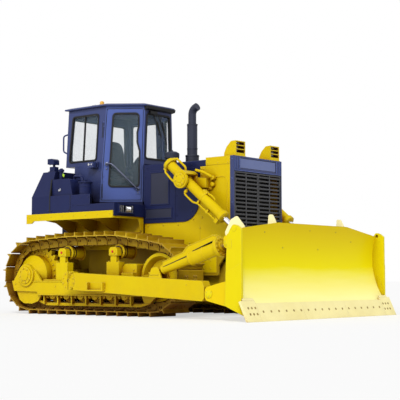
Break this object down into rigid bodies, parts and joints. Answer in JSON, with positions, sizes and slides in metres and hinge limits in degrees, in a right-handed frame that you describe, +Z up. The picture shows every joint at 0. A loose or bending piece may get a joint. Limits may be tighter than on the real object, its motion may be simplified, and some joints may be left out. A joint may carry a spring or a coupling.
{
  "type": "crawler bulldozer",
  "caption": "Crawler bulldozer with a straight tilting blade on push arms, two lift cylinders, a hinged-door cab and a hinged radiator grille.",
  "frame": {"origin": "On the ground, under the middle of the overall length and width.", "axes": "+X forward to the blade, +Y to the operator's left, +Z up."},
  "size_m": [5.75, 3.724, 3.4027],
  "materials": {
    "yellow_paint": "gloss",
    "blue_paint": "gloss",
    "dark_paint": "satin",
    "chrome_rod": "polished",
    "tinted_glass": "polished",
    "seat_vinyl": "matte",
    "edge_steel": "satin",
    "amber_lens": "gloss"
  },
  "bodies": {
    "machine": {"air_precleaner": "blue_paint", "battery_box": "blue_paint", "beacon": "amber_lens", "cab_door_frames": "blue_paint", "cab_floor": "blue_paint", "cab_front": "blue_paint", "cab_glass": "tinted_glass", "cab_rear": "blue_paint", "cab_roof": "blue_paint", "cab_sides": "blue_paint", "carrier_rollers": "yellow_paint", "console": "dark_paint", "cowl": "blue_paint", "decks": "blue_paint", "engine_block": "dark_paint", "engine_sides": "yellow_paint", "exhaust_stack": "dark_paint", "fenders": "yellow_paint", "filter_canister": "blue_paint", "final_drives": "yellow_paint", "front_frame": "blue_paint", "fuel_tank": "blue_paint", "headlamp_boxes": "yellow_paint", "hood": "blue_paint", "hydraulic_tank": "blue_paint", "idlers": "yellow_paint", "lift_yokes": "yellow_paint", "main_frame": "yellow_paint", "operator_seat": "seat_vinyl", "radiator_core": "dark_paint", "radiator_guard": "yellow_paint", "side_covers": "blue_paint", "sprockets": "yellow_paint", "track_frame_left": "yellow_paint", "track_frame_right": "yellow_paint", "track_left": "yellow_paint", "track_right": "yellow_paint", "track_rollers": "yellow_paint"},
    "hitch": {"trunnion_cap_right": "yellow_paint"},
    "blade": {"blade": "yellow_paint", "blade_ends": "yellow_paint", "blade_ears": "yellow_paint", "cutting_edges": "edge_steel", "push_arm_left": "yellow_paint", "brace_left": "yellow_paint"},
    "right_arm": {"push_arm_right": "yellow_paint"},
    "tilt_barrel": {"tilt_barrel": "yellow_paint"},
    "tilt_rod": {"tilt_rod": "chrome_rod"},
    "lift_barrel_right": {"lift_barrel_right": "yellow_paint"},
    "lift_rod_right": {"lift_rod_right": "chrome_rod"},
    "lift_barrel_left": {"lift_barrel_left": "yellow_paint"},
    "lift_rod_left": {"lift_rod_left": "chrome_rod"},
    "door_right": {"door_right": "blue_paint", "door_glass_right": "tinted_glass"},
    "door_left": {"door_left": "blue_paint", "door_glass_left": "tinted_glass"},
    "grille_right": {"grille_right": "dark_paint"},
    "grille_left": {"grille_left": "dark_paint"}
  },
  "joints": [
    {"name": "blade_lift", "type": "hinge", "parent": "machine", "child": "hitch", "pos_m": [-0.723, -1.5, 0.525], "axis": [0, -1, 0], "range_deg": [-8.75, 19.15]},
    {"name": "blade_tilt", "type": "hinge", "parent": "hitch", "child": "blade", "pos_m": [-0.723, 1.5, 0.525], "axis": [0.8753, -0.4803, -0.056], "range_deg": [-6.45, 6.45]},
    {"name": "right_arm_pivot", "type": "hinge", "parent": "hitch", "child": "right_arm", "pos_m": [-0.723, -1.5, 0.525], "axis": [0, -1, 0], "range_deg": [-3.1, 3.1]},
    {"name": "tilt_barrel_pivot", "type": "hinge", "parent": "right_arm", "child": "tilt_barrel", "pos_m": [1.018, -1.5, 0.652], "axis": [0.223, -0.5969, -0.7707], "range_deg": [-3.65, 3.65]},
    {"name": "tilt_rod_slide", "type": "slide", "parent": "tilt_barrel", "child": "tilt_rod", "axis": [0.9606, 0, 0.2779], "range_m": [-0.062, 0.062]},
    {"name": "lift_barrel_right_pivot", "type": "hinge", "parent": "machine", "child": "lift_barrel_right", "pos_m": [0.925, -0.8, 1.996], "axis": [0, -1, 0], "range_deg": [-12.1, 26.45]},
    {"name": "lift_rod_right_slide", "type": "slide", "parent": "lift_barrel_right", "child": "lift_rod_right", "axis": [0.7754, 0, -0.6315], "range_m": [-0.687, 0.314]},
    {"name": "door_right_hinge", "type": "hinge", "parent": "machine", "child": "door_right", "pos_m": [-0.83887, -0.74818, 2.5125], "axis": [-0.0319, -0.0583, -0.9978], "range_deg": [0, 90]},
    {"name": "grille_right_hinge", "type": "hinge", "parent": "machine", "child": "grille_right", "pos_m": [1.652, -0.572, 1.56], "axis": [0, 0, 1], "range_deg": [-100, 0]},
    {"name": "lift_barrel_left_pivot", "type": "hinge", "parent": "machine", "child": "lift_barrel_left", "pos_m": [0.925, 0.8, 1.996], "axis": [0, -1, 0], "range_deg": [-12.1, 26.45]},
    {"name": "lift_rod_left_slide", "type": "slide", "parent": "lift_barrel_left", "child": "lift_rod_left", "axis": [0.7754, 0, -0.6315], "range_m": [-0.687, 0.314]},
    {"name": "door_left_hinge", "type": "hinge", "parent": "machine", "child": "door_left", "pos_m": [-0.83887, 0.74818, 2.5125], "axis": [0.0319, -0.0583, 0.9978], "range_deg": [0, 90]},
    {"name": "grille_left_hinge", "type": "hinge", "parent": "machine", "child": "grille_left", "pos_m": [1.652, 0.572, 1.56], "axis": [0, 0, -1], "range_deg": [-100, 0]}
  ],
  "couplings": [
    {"joint": "right_arm_pivot", "follows": "blade_tilt", "ratio": -0.478},
    {"joint": "tilt_barrel_pivot", "follows": "blade_tilt", "ratio": 0.5635},
    {"joint": "tilt_rod_slide", "follows": "blade_tilt", "m_per_rad": -0.544},
    {"joint": "lift_barrel_right_pivot", "follows": "blade_lift", "ratio": 1.379},
    {"joint": "lift_rod_right_slide", "follows": "blade_lift", "m_per_rad": -2.0528},
    {"joint": "lift_barrel_left_pivot", "follows": "blade_lift", "ratio": 1.379},
    {"joint": "lift_rod_left_slide", "follows": "blade_lift", "m_per_rad": -2.0528}
  ]
}
